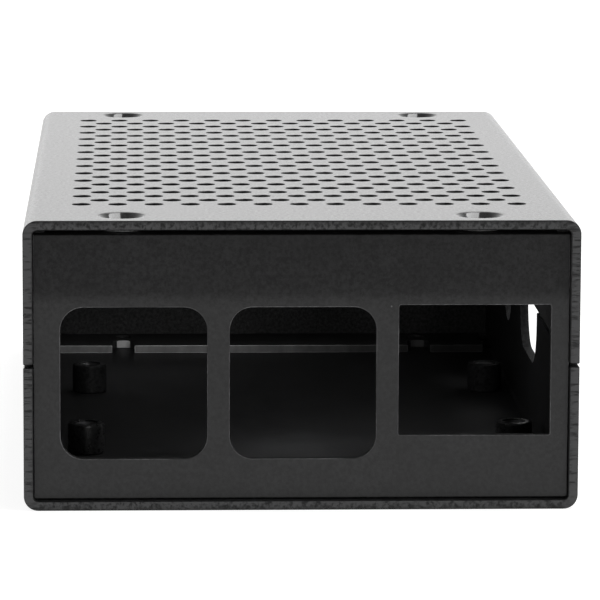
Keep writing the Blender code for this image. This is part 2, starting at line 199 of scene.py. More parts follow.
class CaseColours(bpy.types.PropertyGroup):
    """Base colours of the finishes."""

    coat: colour("Coat", "Powder coat of cover and tray", (0.010, 0.0101, 0.0104))
    panel: colour("Panel coat", "Coat of the end panels", (0.0085, 0.0085, 0.0087))
    # paler than the outer coat: painted light that lifts the dark inside of the case
    inner: colour("Inner coat", "Coat on the sides that face inwards", (0.019, 0.019, 0.0192))
    slot: colour("Slot", "Bare ends of the slots in the lower flanges", (0.5, 0.5, 0.5))
    thread: colour("Thread", "Steel of the tapped holes", (0.25, 0.25, 0.255))
    cut: colour("Cut edge", "Coated sheared edges of the shells", (0.025, 0.025, 0.0254))
    flange: colour("Flange edge", "Sheared edges of the panels' flanges", (0.145, 0.145, 0.145))
    steel: colour("Steel", "Zinc plate of the press nuts", (0.52, 0.52, 0.53))
    rim: colour("Rim", "Worn rims of the panels and openings", (0.10, 0.10, 0.102))
    floor: colour("Floor", "Pale studio floor", (0.3, 0.3, 0.3))


def sizes():
    """The sizes in the open scene."""
    return bpy.context.scene.case_sizes


def colours():
    """The finish colours in the open scene."""
    return bpy.context.scene.case_colours


class Nodes:
    """Short way to build one material's node tree."""

    def __init__(self, mat):
        mat.use_nodes = True
        self.tree = mat.node_tree
        self.shader = self.tree.nodes["Principled BSDF"]
        self.object = self.tree.nodes.new("ShaderNodeTexCoord").outputs["Object"]

    def add(self, kind, inputs=None, **settings):
        """Make a node, set its properties, and set or link its inputs."""
        node = self.tree.nodes.new(kind)
        for key, value in settings.items():
            setattr(node, key, value)
        for key, value in (inputs or {}).items():
            self.feed(node.inputs[key], value)
        return node

    def feed(self, socket, value):
        """Link an output to a socket, or set the socket's own value."""
        if isinstance(value, bpy.types.NodeSocket):
            self.tree.links.new(value, socket)
        else:
            socket.default_value = value

    def noise(self, scale, detail=2.0, roughness=0.5, stretch=(1, 1, 1)):
        """Noise over the object's own coordinates, scale in features per metre."""
        mapped = self.add("ShaderNodeMapping", {"Vector": self.object, "Scale": stretch})
        made = self.add("ShaderNodeTexNoise",
                        {"Vector": mapped.outputs[0], "Scale": scale, "Detail": detail,
                         "Roughness": roughness})
        return made.outputs["Fac"]

    def ramp(self, value, low, high, to_low=0.0, to_high=1.0):
        """Map a value from one range to another, clamped."""
        made = self.add("ShaderNodeMapRange",
                        {"Value": value, "From Min": low, "From Max": high,
                         "To Min": to_low, "To Max": to_high})
        return made.outputs["Result"]

    def maths(self, operation, first, second=0.0):
        """One math node's result."""
        return self.add("ShaderNodeMath", {0: first, 1: second}, operation=operation).outputs[0]

    def mix(self, factor, first, second):
        """Mix two colours."""
        made = self.add("ShaderNodeMix", data_type="RGBA")
        self.feed(made.inputs["Factor"], factor)
        self.feed(made.inputs[6], first)
        self.feed(made.inputs[7], second)
        return made.outputs[2]

    def bump(self, height, distance, strength=1.0, normal=None):
        """Bump from a height output, on top of an earlier bump if one is given."""
        inputs = {"Height": height, "Distance": distance, "Strength": strength}
        if normal is not None:
            inputs["Normal"] = normal
        return self.add("ShaderNodeBump", inputs).outputs[0]

    def surface(self, **inputs):
        """Set or link the Principled shader's inputs by name."""
        for key, value in inputs.items():
            self.feed(self.shader.inputs[key.replace("_", " ")], value)


def rgba(values, gain=1.0):
    """A linear colour with full alpha, scaled by a gain."""
    return (*(channel * gain for channel in values), 1.0)


def coat_material(name, base, roughness, specular, gloss, gloss_roughness):
    """Fine textured satin powder coat with faint clouds and a few light dust grains."""
    mat = bpy.data.materials.new(name)
    nodes = Nodes(mat)
    grain = nodes.noise(2600, 4.0, 0.65)
    cloud = nodes.noise(130, 4.0, 0.6)
    fine = nodes.ramp(grain, 0.35, 0.65, 0.1, 1.9)
    tone = nodes.mix(nodes.maths("MULTIPLY", fine, nodes.ramp(cloud, 0.25, 0.75, 0.35, 0.65)),
                     rgba(base, 0.25), rgba(base, 1.75))
    dust = nodes.add("ShaderNodeTexVoronoi", {"Vector": nodes.object, "Scale": 620.0})
    chosen = nodes.ramp(nodes.add("ShaderNodeSeparateXYZ", {0: dust.outputs["Color"]}).outputs[0],
                        0.955, 0.96)
    speck = nodes.maths("MULTIPLY", chosen, nodes.ramp(dust.outputs["Distance"], 0.075, 0.03))
    nodes.surface(
        Base_Color=nodes.mix(speck, tone, rgba(DUST)),
        Roughness=nodes.ramp(grain, 0.3, 0.7, roughness - 0.06, roughness + 0.08),
        Specular_IOR_Level=specular,
        Normal=nodes.bump(grain, 0.00003, 1.0),
        Coat_Weight=gloss,
        Coat_Roughness=gloss_roughness,
    )
    return mat


def cut_material(name, base, box, streak):
    """Coated sheared edge with streaks, dark at the flat's outer side, bright at a wall's."""
    low, high = box
    mat = bpy.data.materials.new(name)
    nodes = Nodes(mat)
    place = nodes.add("ShaderNodeSeparateXYZ", {0: nodes.object})
    side = nodes.maths("SUBTRACT", high.x, nodes.maths("ABSOLUTE", place.outputs["X"]))
    ends = nodes.maths("MINIMUM", nodes.maths("SUBTRACT", high.z, place.outputs["Z"]),
                       nodes.maths("SUBTRACT", place.outputs["Z"], low.z))
    depth = nodes.maths("MINIMUM", side, ends)
    on_wall = nodes.ramp(side, 0.0018, 0.0012)
    along_flat = nodes.noise(2600, 4.0, 0.65, (0.8, 0.3, 0.7))
    along_wall = nodes.noise(2600, 4.0, 0.65, (0.16, 0.3, 1.0))
    lines = nodes.mix(on_wall, along_flat, along_wall)
    patches = nodes.noise(300, 3.0)
    pits = nodes.noise(7000, 3.0, 0.6)
    worn = nodes.maths("MULTIPLY", nodes.ramp(lines, 0.38, 0.6, 0.1, 1.6),
                       nodes.ramp(patches, 0.3, 0.7, 0.75, 1.3))
    across = nodes.mix(on_wall, nodes.ramp(depth, 0.00008, 0.0009, 0.3, 1.0),
                       nodes.ramp(side, 0.00008, 0.001, 1.6, 0.75))
    sheared = nodes.maths("MULTIPLY", worn, across)
    nodes.surface(
        Base_Color=nodes.mix(nodes.maths("MULTIPLY", sheared, streak), rgba(base, 0.1),
                             rgba(base, 2.1)),
        Roughness=nodes.ramp(pits, 0.3, 0.7, 0.38, 0.6),
        Specular_IOR_Level=0.22,
        Normal=nodes.bump(pits, 0.00001, 0.6, nodes.bump(lines, 0.0001, 1.0)),
    )
    return mat


def sheared_material(name, base):
    """Thinly coated sheared steel with soft streaks, painted darker to the right as shade where
    less light reaches it.
    """
    mat = bpy.data.materials.new(name)
    nodes = Nodes(mat)
    streaks = nodes.noise(700, 3.0, 0.5, (1.0, 0.3, 0.5))
    pits = nodes.noise(6000, 3.0, 0.6)
    place = nodes.add("ShaderNodeSeparateXYZ", {0: nodes.object})
    # painted shade: the base colour darkens from left to right for light that falls off to the
    # right; the streaks vary the thin coat
    thin_coat_and_shade = nodes.maths("MULTIPLY", nodes.ramp(place.outputs["X"], -0.004, 0.019, 0.8, 0.1),
                       nodes.ramp(streaks, 0.3, 0.7, 0.7, 1.2))
    nodes.surface(
        Base_Color=nodes.mix(thin_coat_and_shade, rgba(base, 0.03), rgba(base, 1.3)),
        Roughness=nodes.ramp(pits, 0.3, 0.7, 0.5, 0.65),
        Specular_IOR_Level=0.3,
        Normal=nodes.bump(pits, 0.00001, 0.5),
    )
    return mat


def rim_material(name, base):
    """Sharp rim where the coat is worn thin in places."""
    mat = bpy.data.materials.new(name)
    nodes = Nodes(mat)
    wear = nodes.maths("MULTIPLY", nodes.ramp(nodes.noise(220, 3.0), 0.35, 0.6, 0.15, 1.0),
                       nodes.ramp(nodes.noise(3000, 3.0), 0.3, 0.6, 0.3, 1.0))
    nodes.surface(
        Base_Color=nodes.mix(wear, rgba(base, 0.12), rgba(base, 1.0)),
        Roughness=nodes.ramp(wear, 0.0, 1.0, 0.5, 0.35),
        Specular_IOR_Level=0.3,
        Normal=nodes.bump(wear, 0.00001, 0.5),
    )
    return mat


def metal_material(name, base, roughness):
    """Dull plated metal with fine turning lines and a cloudy film."""
    mat = bpy.data.materials.new(name)
    nodes = Nodes(mat)
    lines = nodes.noise(5000, 3.0, 0.6, (0.12, 0.12, 1.0))
    cloud = nodes.noise(1500, 3.0)
    nodes.surface(
        Base_Color=nodes.mix(cloud, rgba(base, 0.75), rgba(base, 1.1)),
        Roughness=nodes.ramp(lines, 0.3, 0.7, roughness - 0.06, roughness + 0.1),
        Metallic=1.0,
        Normal=nodes.bump(lines, 0.000008, 0.5),
    )
    return mat


def floor_material(name, base, glow):
    """Matt pale sheet that glows like a light table, with soft shade under the case."""
    mat = bpy.data.materials.new(name)
    nodes = Nodes(mat)
    mottle = nodes.noise(40, 3.0)
    place = nodes.add("ShaderNodeSeparateXYZ", {0: nodes.object})
    inside = nodes.maths("MULTIPLY",
                         nodes.ramp(nodes.maths("ABSOLUTE", place.outputs["X"]), *SHADE_SIDE),
                         nodes.ramp(nodes.maths("ABSOLUTE", place.outputs["Y"]), *SHADE_END))
    nodes.surface(
        Base_Color=nodes.mix(mottle, rgba(base, 0.97), rgba(base, 1.03)),
        Roughness=0.9,
        Specular_IOR_Level=0.0,
        Emission_Color=rgba((1.0, 1.0, 1.0)),
        Emission_Strength=nodes.ramp(inside, 0.0, 1.0, glow, SHADE * glow),
    )
    return mat


def shared(name, make, *settings):
    """A material that several pieces share, made when it is first asked for."""
    return bpy.data.materials.get(name) or make(name, *settings)


def shell_materials(inside):
    """Finishes of the cover or the tray, in the order of their slots."""
    return (shared("shell_coat", coat_material, colours().coat, *SHELL_FINISH),
            shared("shell_edge", cut_material, colours().cut, (TRAY[0], COVER[1]), 1.0),
            shared("worn_rim", rim_material, colours().rim), inside,
            shared("hole_coat", coat_material, colours().coat, *HOLE_FINISH),
            shared("sink_coat", coat_material, colours().coat, *SINK_FINISH),
            # the dimples' rubbed metal, paler also as a painted highlight
            shared("rubbed_dimple", rim_material, colours().slot))


def matte_coat():
    """Thin matte coat on the sides that face inwards, paler than the outer coat as painted light
    that lifts the dark inside.
    """
    return shared("inner_coat", coat_material, colours().inner, *MATTE_FINISH)


def panel_materials():
    """Finishes of the end panels, in the order of their slots."""
    return (shared("panel_coat", coat_material, colours().panel, *PANEL_FINISH),
            shared("flange_edge", sheared_material, colours().flange),
            shared("worn_rim", rim_material, colours().rim), matte_coat(),
            shared("bare_slot", sheared_material, colours().slot))


def finish_piece(name, shape, materials, replaced):
    """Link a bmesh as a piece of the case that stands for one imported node."""
    mesh = bpy.data.meshes.new(name)
    shape.to_mesh(mesh)
    shape.free()
    for mat in materials:
        mesh.materials.append(mat)
    mesh.shade_smooth()
    mesh.set_sharp_from_angle(angle=SMOOTH_BELOW)
    piece = bpy.data.objects.new(name, mesh)
    bpy.context.scene.collection.objects.link(piece)
    flat = piece.modifiers.new("flat_faces", "WEIGHTED_NORMAL")   # flats stay flat beside bends
    flat.keep_sharp = True
    flat.weight = 100
    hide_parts(replaced)
    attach(piece, "root")


def extrude_line(shape, points, sweep):
    """Sweep an open line of 3-D points into faces."""
    line = [shape.verts.new(point) for point in points]
    edges = [shape.edges.new(pair) for pair in zip(line, line[1:])]
    grown = bmesh.ops.extrude_edge_only(shape, edges=edges)["geom"]
    moved = [item for item in grown if isinstance(item, bmesh.types.BMVert)]
    bmesh.ops.translate(shape, verts=moved, vec=sweep)


def spin_line(shape, points, centre, steps):
    """Spin a line of (radius, z) points round a vertical axis at centre (x, y)."""
    axis = Vector((centre[0], centre[1], 0.0))
    line = [shape.verts.new(axis + Vector((r, 0.0, z))) for r, z in points]
    edges = [shape.edges.new(pair) for pair in zip(line, line[1:])]
    bmesh.ops.spin(shape, geom=line + edges, cent=axis, axis=(0, 0, 1), dvec=(0, 0, 0),
                   angle=math.tau, steps=steps, use_merge=True, use_duplicate=False)


def ring_edges(shape, centre, radius, z, steps):
    """A circle of edges on a flat sheet."""
    place = Matrix.Translation((centre[0], centre[1], z))
    made = bmesh.ops.create_circle(shape, cap_ends=False, segments=steps, radius=radius,
                                   matrix=place)
    return list({edge for vert in made["verts"] for edge in vert.link_edges})


def screw_axes():
    """Centres of the four screw holes, by place."""
    low, high = COVER
    inset = sizes().screw_side
    rows = {"front": low.y + sizes().screw_front, "rear": high.y - sizes().screw_rear}
    sides = {"left": low.x + inset, "right": high.x - inset}
    return {f"{row}_{side}": (x, y) for row, y in rows.items() for side, x in sides.items()}


def vent_centres():
    """Centres of the staggered vents, each second row one hole shorter."""
    spacing = sizes().vent_pitch * math.sin(VENT_STAGGER)
    low, _ = COVER
    centres = []
    for row in range(VENT_ROWS):
        holes = VENTS_IN_ROW - row % 2
        y = low.y + sizes().vent_front + row * spacing
        first = sizes().vent_shift - (holes - 1) * sizes().vent_pitch / 2
        centres += [(first + hole * sizes().vent_pitch, y) for hole in range(holes)]
    return centres


def add_linings(shape, linings):
    """Line round holes, each given as (centre, steps, profile), spinning each profile once."""
    spun = {}
    for centre, steps, profile in linings:
        if profile not in spun:
            ring = bmesh.new()
            spin_line(ring, profile, (0.0, 0.0), steps)
            spun[profile] = bpy.data.meshes.new("lining")
            ring.to_mesh(spun[profile])
            ring.free()
        there = Matrix.Translation((*centre, 0.0))
        spun[profile].transform(there)
        shape.from_mesh(spun[profile])
        spun[profile].transform(there.inverted())
    for mesh in spun.values():
        bpy.data.meshes.remove(mesh)


def folded_sheet(box, flat_z, end_z, holes):
    """Closed folded shell whose flat side has round holes.

    holes lists (centre, radius, steps, lining), where the lining is the profile that
    joins the sheet's outer side to its inner side, as (radius, depth from outside).
    """
    low, high = box
    inward = 1.0 if end_z > flat_z else -1.0
    shape = bmesh.new()
    corners = ((low.x, end_z), (low.x, flat_z), (high.x, flat_z), (high.x, end_z))
    extrude_line(shape, [(x, low.y, z) for x, z in corners], (0.0, high.y - low.y, 0.0))
    folds = [edge for edge in shape.edges
             if all(abs(vert.co.z - flat_z) < MERGE for vert in edge.verts)
             and abs(edge.verts[0].co.x - edge.verts[1].co.x) < MERGE]
    fold = sizes().bend + sizes().sheet
    bmesh.ops.bevel(shape, geom=folds, offset=fold, offset_type="OFFSET",
                    segments=FOLD_STEPS, profile=0.5, affect="EDGES", material=-1)
    flat = max(shape.faces, key=lambda face: abs(face.normal.z) * face.calc_area())
    bmesh.ops.inset_region(shape, faces=[flat], thickness=FLAT_MARGIN, use_even_offset=True,
                           use_boundary=True)
    loop = list(flat.edges)
    bmesh.ops.delete(shape, geom=[flat], context="FACES_ONLY")
    for centre, radius, steps, _ in holes:
        loop += ring_edges(shape, centre, radius, flat_z, steps)
    bmesh.ops.triangle_fill(shape, use_beauty=True, use_dissolve=False, edges=loop,
                            normal=(0.0, 0.0, -inward))
    bmesh.ops.recalc_face_normals(shape, faces=shape.faces[:])
    flat_faces = [face for face in shape.faces if abs(face.normal.z) > LEVEL]
    if flat_faces[0].normal.z * inward > 0.0:
        bmesh.ops.reverse_faces(shape, faces=shape.faces[:])
    outside = len(shape.verts)
    bmesh.ops.solidify(shape, geom=shape.faces[:], thickness=sizes().sheet)
    reach = max(vert.co.z * inward for vert in shape.verts)
    if abs(reach - end_z * inward) > MERGE or len(shape.verts) == outside:
        raise RuntimeError("the folded sheet's wall went the wrong way")

    walls = [face for face in shape.faces if abs(face.normal.z) < UPRIGHT
             and all(abs(vert.co.x) < high.x - fold for vert in face.verts)
             and all(abs(vert.co.y) < high.y - MERGE for vert in face.verts)]
    bmesh.ops.delete(shape, geom=walls, context="FACES")
    add_linings(shape, [(centre, steps, tuple((r, flat_z + inward * depth) for r, depth in line))
                        for centre, _, steps, line in holes])
    bmesh.ops.remove_doubles(shape, verts=shape.verts[:], dist=MERGE)
    bmesh.ops.recalc_face_normals(shape, faces=shape.faces[:])
    open_edges = sum(not edge.is_manifold for edge in shape.edges)
    if open_edges:
        raise RuntimeError(f"the folded sheet has {open_edges} open edges")
    return shape


def soften_ends(shape, box, end_z):
    """Round the walls' ends at the seam and deburr the sheet's front and rear ends."""
    low, high = box
    seam = [edge for edge in shape.edges
            if all(abs(vert.co.z - end_z) < MERGE for vert in edge.verts)
            and abs(edge.verts[0].co.x - edge.verts[1].co.x) < MERGE]
    deburr(shape, seam, sizes().wall_round, WALL_END_STEPS)
    ends = []
    for edge in shape.edges:
        on_end = [all(abs(vert.co.y - y) < MERGE for vert in edge.verts)
                  for y in (low.y, high.y)]
        if any(on_end) and edge.is_manifold and edge.calc_face_angle() > STEEP:
            ends.append(edge)
    deburr(shape, ends, sizes().end_round)


def on_notch(centre, normal):
    """Whether a face of the right wall belongs to one of the notches' cut edges."""
    return (centre.x > TRAY[1].x - sizes().sheet and abs(normal.x) < UPRIGHT
            and sizes().notch_bottom - MERGE < centre.z < TRAY[1].z)


def mark_shell_faces(shape, box, flat_z):
    """Give each face of the cover or the tray its finish."""
    low, high = box
    sheet = sizes().sheet
    wall_end = low.z if flat_z == high.z else high.z
    for face in shape.faces:
        centre = face.calc_center_median()
        at_end = min(abs(centre.y - low.y), abs(centre.y - high.y)) < MERGE
        depth = min(high.x - abs(centre.x), abs(centre.z - flat_z))
        on_flat = high.x - abs(centre.x) > 2 * sheet and abs(centre.z - flat_z) < 2 * sheet
        in_hole = on_flat and abs(face.normal.z) < UPRIGHT
        on_sink = on_flat and abs(face.normal.z) < SLOPING and depth > SINK_START * sheet
        in_seam = (abs(centre.z - wall_end) < sizes().wall_round + MERGE
                   and depth > SEAM_START * sheet)
        if at_end:
            face.material_index = CUT_EDGE
        elif on_notch(centre, face.normal) or in_hole or in_seam:
            face.material_index = HOLE_COAT
        # the dimples' pressed faces: coat rubbed to bare metal, and so pale also as a painted
        # highlight in the gap under the cover
        elif on_flat and depth > DIMPLE_START * sheet:
            face.material_index = RUBBED_AND_HIGHLIT
        elif on_sink:
            face.material_index = SINK_COAT
        elif depth > INNER_START * sheet:
            face.material_index = INNER_COAT


def cover_shape():
    """Perforated cover with four pressed countersinks."""
    sheet = sizes().sheet
    rim = sizes().vent_rim
    vent = sizes().vent / 2
    vent_lining = [(vent + rim, 0.0), (vent, rim), (vent, sheet - rim), (vent + rim, sheet)]
    sink = sizes().sink_radius
    bore = sizes().bore_radius
    bottom = sheet + sizes().dimple_depth
    soft = 0.0001
    reach = sink + DIMPLE_ROOT
    # over the rim, down the cone and the bore, round the dimple's foot and back up its outside
    dimple = [(reach, 0.0), (sink + 3 * soft, soft * 0.1), (sink + soft, soft * 0.35),
              (sink - soft * 0.5, soft * 1.3), (bore + soft, sink - bore - soft * 0.6),
              (bore, sink - bore + soft), (bore, bottom - soft), (bore + soft, bottom),
              (sink - 3 * soft, bottom), (sink - soft * 0.5, bottom - soft * 0.7),
              (sink + soft * 2.5, sheet + soft * 0.6), (sink + soft * 4.5, sheet + soft * 0.1),
              (reach, sheet)]
    holes = [(centre, vent + rim, VENT_STEPS, vent_lining) for centre in vent_centres()]
    holes += [(centre, reach, DIMPLE_STEPS, dimple) for centre in screw_axes().values()]
    low, high = COVER
    shape = folded_sheet(COVER, high.z, low.z, holes)
    soften_ends(shape, COVER, low.z)
    mark_shell_faces(shape, COVER, high.z)
    return shape


def tray_shape():
    """Tray with countersunk screw holes, swaged standoff holes and two wall notches."""
    sheet = sizes().sheet
    sink = sizes().tray_sink_radius
    bore = sizes().tray_bore_radius
    soft = sizes().deburr
    shank = sizes().post_shank
    countersink = [(sink + soft, 0.0), (sink - soft, soft), (bore, sink - bore),
                   (bore, sheet - soft), (bore + soft, sheet), (sink + soft, sheet)]
    post_hole = [(shank + soft, 0.0), (shank, soft), (shank, sheet - soft),
                 (shank + soft, sheet)]
    holes = [(centre, sink + soft, BORE_STEPS, countersink) for centre in screw_axes().values()]
    for place in PLACES:
        post_low, post_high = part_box(f"standoff_{place}")
        middle = (post_low + post_high) / 2
        holes.append(((middle.x, middle.y), shank + soft, POST_HOLE_STEPS, post_hole))
    low, high = TRAY
    shape = folded_sheet(TRAY, low.z, high.z, holes)
    soften_ends(shape, TRAY, high.z)
    shape = cut(shape, notch_cutter())
    notch_rims = [edge for edge in shape.edges
                  if edge.is_manifold and edge.calc_face_angle() > STEEP
                  and all(vert.co.x > high.x - 2 * sheet for vert in edge.verts)
                  and all(vert.co.z > sizes().notch_bottom - MERGE for vert in edge.verts)
                  and all(abs(vert.co.y) < high.y - sheet for vert in edge.verts)]
    deburr(shape, notch_rims, soft)
    mark_shell_faces(shape, TRAY, low.z)
    return shape


def deburr(shape, edges, width, steps=DEBURR_STEPS):
    """Take the sharp corner off a set of edges, and return the new faces."""
    made = bmesh.ops.bevel(shape, geom=edges, offset=width, offset_type="OFFSET", segments=steps,
                           profile=0.5, affect="EDGES", clamp_overlap=True, material=-1)
    return made["faces"]


def rounded_block(shape, low, high, axis, radius, segments):
    """Box from low to high whose edges along one axis are rounded."""
    size = [b - a for a, b in zip(low, high)]
    middle = [(a + b) / 2 for a, b in zip(low, high)]
    scale = Matrix.Diagonal((*size, 1.0))
    made = bmesh.ops.create_cube(shape, size=1.0, matrix=Matrix.Translation(middle) @ scale)
    edges = {edge for vert in made["verts"] for edge in vert.link_edges}
    along = [edge for edge in edges
             if abs((edge.verts[0].co - edge.verts[1].co)[axis]) > size[axis] / 2]
    bmesh.ops.bevel(shape, geom=along, offset=radius, offset_type="OFFSET",
                    segments=segments, profile=0.5, affect="EDGES", material=-1)


def cut(shape, cutter):
    """The first shape less the second, as a new bmesh."""
    objects = []
    for name, part in (("blank", shape), ("cutter", cutter)):
        bmesh.ops.recalc_face_normals(part, faces=part.faces[:])
        mesh = bpy.data.meshes.new(name)
        part.to_mesh(mesh)
        part.free()
        made = bpy.data.objects.new(name, mesh)
        bpy.context.scene.collection.objects.link(made)
        objects.append(made)
    blank, tool = objects
    mod = blank.modifiers.new("Cut", "BOOLEAN")
    mod.operation = "DIFFERENCE"
    mod.solver = "EXACT"
    mod.use_self = True
    mod.object = tool
    evaluated = blank.evaluated_get(bpy.context.evaluated_depsgraph_get())
    result = bmesh.new()
    result.from_mesh(evaluated.to_mesh())
    for made in objects:
        mesh = made.data
        bpy.data.objects.remove(made)
        bpy.data.meshes.remove(mesh)
    return result


def notch_cutter():
    """The two notches of the tray's right wall."""
    low, high = TRAY
    bottom = sizes().notch_bottom
    inside = high.x - 2 * sizes().sheet
    outside = high.x + sizes().sheet
    cutter = bmesh.new()
    for start, run in ((sizes().long_notch, sizes().long_notch_run),
                       (sizes().short_notch, sizes().short_notch_run)):
        near = low.y + start
        rounded_block(cutter, (inside, near, bottom), (outside, near + run, 2 * high.z),
                      0, sizes().notch_corner, CORNER_STEPS)
    return cutter


def port_blocks(cutter, low):
    """Blocks for the three ports, from the left."""
    left = low.x + sizes().left_bar
    for kind in ("round", "round", "square"):
        width, bottom, top, corner = (getattr(sizes(), f"{kind}_port_{measure}")
                                      for measure in ("width", "bottom", "top", "corner"))
        rounded_block(cutter, (left, low.y - OVERRUN, bottom),
                      (left + width, low.y + sizes().panel + OVERRUN, top), 1, corner,
                      CORNER_STEPS)
        left += width + sizes().middle_bar


def panel_blank(low, high, side):
    """Folded channel of one end panel before its flanges are cut."""
    past = high.y + 2 * OVERRUN if side < 0 else low.y - 2 * OVERRUN
    outer = low.y if side < 0 else high.y
    blank = bmesh.new()
    span = sorted((outer, past))
    rounded_block(blank, (low.x, span[0], low.z), (high.x, span[1], high.z), 0,
                  sizes().panel_fold, PANEL_FOLD_STEPS)
    return blank


def panel_cutter(low, high, side):
    """What is cut from a panel's blank: its inside, reliefs, slots, screw and nut holes."""
    thick = sizes().panel
    outer, free = (low.y, high.y) if side < 0 else (high.y, low.y)
    past = free - side * 2 * OVERRUN
    cutter = bmesh.new()
    trim = sorted((free, past - side * OVERRUN))
    rounded_block(cutter, (low.x - OVERRUN, trim[0], low.z - OVERRUN),
                  (high.x + OVERRUN, trim[1], high.z + OVERRUN), 0, sizes().deburr, 1)
    inside = sorted((outer - side * thick, past))
    rounded_block(cutter, (low.x - OVERRUN, inside[0], low.z + thick),
                  (high.x + OVERRUN, inside[1], high.z - thick), 0, sizes().deburr,
                  DEBURR_STEPS)
    relief = sorted((outer - side * (thick + sizes().flange_relief), past))
    for sign, edge in ((-1, low.x), (1, high.x)):
        across = sorted((edge - sign * sizes().flange_end, edge + sign * OVERRUN))
        rounded_block(cutter, (across[0], relief[0], low.z - OVERRUN),
                      (across[1], relief[1], high.z + OVERRUN), 2, sizes().deburr,
                      DEBURR_STEPS)
    half = sizes().slot / 2
    along = sorted((free + side * sizes().slot_depth, past))
    row = "front" if side < 0 else "rear"
    for place in (f"{row}_left", f"{row}_right"):
        x, y = screw_axes()[place]
        rounded_block(cutter, (x - half, along[0], low.z - OVERRUN),
                      (x + half, along[1], low.z + 2 * thick), 2, half * ROUND_END, SLOT_STEPS)
        nut_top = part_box(f"press_nut_{place}")[1].z
        for z, radius in ((low.z, sizes().flange_bore), (nut_top, sizes().nut_shank)):
            bmesh.ops.create_cone(cutter, cap_ends=True, segments=BORE_STEPS, radius1=radius,
                                  radius2=radius, depth=4 * thick,
                                  matrix=Matrix.Translation((x, y, z)))
    return cutter


def panel_shape(node, side, ports):
    """End panel with two folded flanges, cut and deburred."""
    low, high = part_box(node)
    cad_low = low.copy()
    reach = TRAY[1].x - sizes().sheet - (sizes().panel_gap if ports else sizes().rear_gap)
    low.x, high.x = -reach, reach
    high.z += sizes().panel_rise
    low.z = TRAY[0].z + sizes().sheet + sizes().panel_seat
    blank = panel_blank(low, high, side)
    cutter = panel_cutter(low, high, side)
    if ports:
        port_blocks(cutter, cad_low)
    shape = cut(blank, cutter)
    rims = [edge for edge in shape.edges
            if edge.is_manifold and edge.calc_face_angle() > STEEP]
    rim_faces = deburr(shape, rims, sizes().deburr)
    outer, free = (low.y, high.y) if side < 0 else (high.y, low.y)
    for face in shape.faces:
        centre = face.calc_center_median()
        in_slot = centre.z < low.z + sizes().panel and abs(face.normal.z) < UPRIGHT
        if abs(centre.y - free) < MERGE:
            face.material_index = CUT_EDGE
        elif (in_slot and side * face.normal.y < -SLOT_END
              and abs(centre.y - free) < 1.1 * sizes().slot_depth):
            face.material_index = BARE_SLOT
        elif abs(centre.y - outer) > sizes().panel / 2:
            face.material_index = INNER_COAT
    for face in rim_faces:
        if abs(face.calc_center_median().y - outer) < 1.5 * sizes().deburr:
            face.material_index = WORN_RIM
    return shape


def thread_line(radius, low, high):
    """Wall of a tapped hole from one height up to another."""
    half = THREAD_PITCH / 2
    depth = THREAD_PITCH * THREAD_CUT
    turns = int((high - low) / THREAD_PITCH)
    line = []
    for turn in range(turns):
        z = low + turn * THREAD_PITCH
        line += [(radius, z), (radius + depth, z + half)]
    line += [(radius, low + turns * THREAD_PITCH), (radius + depth, high)]
    return line


def turned_piece(points, centre, thread_reach):
    """Closed turned shape whose faces inside thread_reach take the second material."""
    shape = bmesh.new()
    spin_line(shape, points, centre, BORE_STEPS)
    bmesh.ops.remove_doubles(shape, verts=shape.verts[:], dist=MERGE)
    bmesh.ops.recalc_face_normals(shape, faces=shape.faces[:])
    for face in shape.faces:
        middle = face.calc_center_median()
        reach = math.hypot(middle.x - centre[0], middle.y - centre[1])
        face.material_index = int(reach < thread_reach)
    return shape


def standoff_shape(node):
    """Round standoff with a tapped hole and a swaged shank."""
    low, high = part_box(node)
    middle = (low + high) / 2
    outer = (high.x - low.x) / 2
    bore = sizes().thread
    shank = sizes().post_shank - THREAD_PITCH / 20
    seat = TRAY[0].z + sizes().sheet
    soft = 2 * sizes().deburr
    foot = high.z - sizes().thread_depth
    points = [(0.0, foot - bore / 2)]
    points += thread_line(bore, foot, high.z - soft)
    points += [(bore + 2 * soft, high.z), (outer - 2 * soft, high.z),
               (outer - soft / 2, high.z - soft / 2), (outer, high.z - 2 * soft),
               (outer, seat + soft), (outer - soft, seat), (shank, seat),
               (shank, low.z), (0.0, low.z)]
    shape = turned_piece(points, (middle.x, middle.y), bore + soft * 1.6)
    for face in shape.faces:
        if face.calc_center_median().z < foot - bore:
            face.material_index = 0
    return shape


def nut_shape(node):
    """Press nut with a chamfered head below its flange and a tapped bore."""
    low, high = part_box(node)
    middle = (low + high) / 2
    outer = (high.x - low.x) / 2
    bore = sizes().thread
    soft = 2 * sizes().deburr
    flange = high.z - sizes().panel
    shank = sizes().nut_shank - soft / 4
    points = thread_line(bore, low.z + soft, high.z - soft)
    points += [(bore + 2 * soft, high.z), (shank, high.z), (shank, flange),
               (outer - soft, flange), (outer, flange - soft), (outer, low.z + 2 * soft),
               (outer - soft / 2, low.z + soft / 2), (outer - 2 * soft, low.z),
               (bore + 2 * soft, low.z), points[0]]
    return turned_piece(points, (middle.x, middle.y), bore + soft)


def add_area_light(name, place, aim, size, power):
    """Softbox aimed at a point."""
    data = bpy.data.lights.new(name, "AREA")
    data.shape = "RECTANGLE"
    data.size, data.size_y = size
    data.energy = power
    light = bpy.data.objects.new(name, data)
    light.location = place
    light.rotation_euler = (Vector(aim) - Vector(place)).to_track_quat("-Z", "Y").to_euler()
    bpy.context.scene.collection.objects.link(light)


def add_fill_light(name, place, power):
    """Faint light inside the case, seen only as a soft glow on its walls."""
    lamp = bpy.data.lights.new(name, "POINT")
    lamp.energy = power
    lamp.shadow_soft_size = FILL_RADIUS
    light = bpy.data.objects.new(name, lamp)
    light.location = place
    light.visible_camera = False
    light.visible_glossy = False
    bpy.context.scene.collection.objects.link(light)


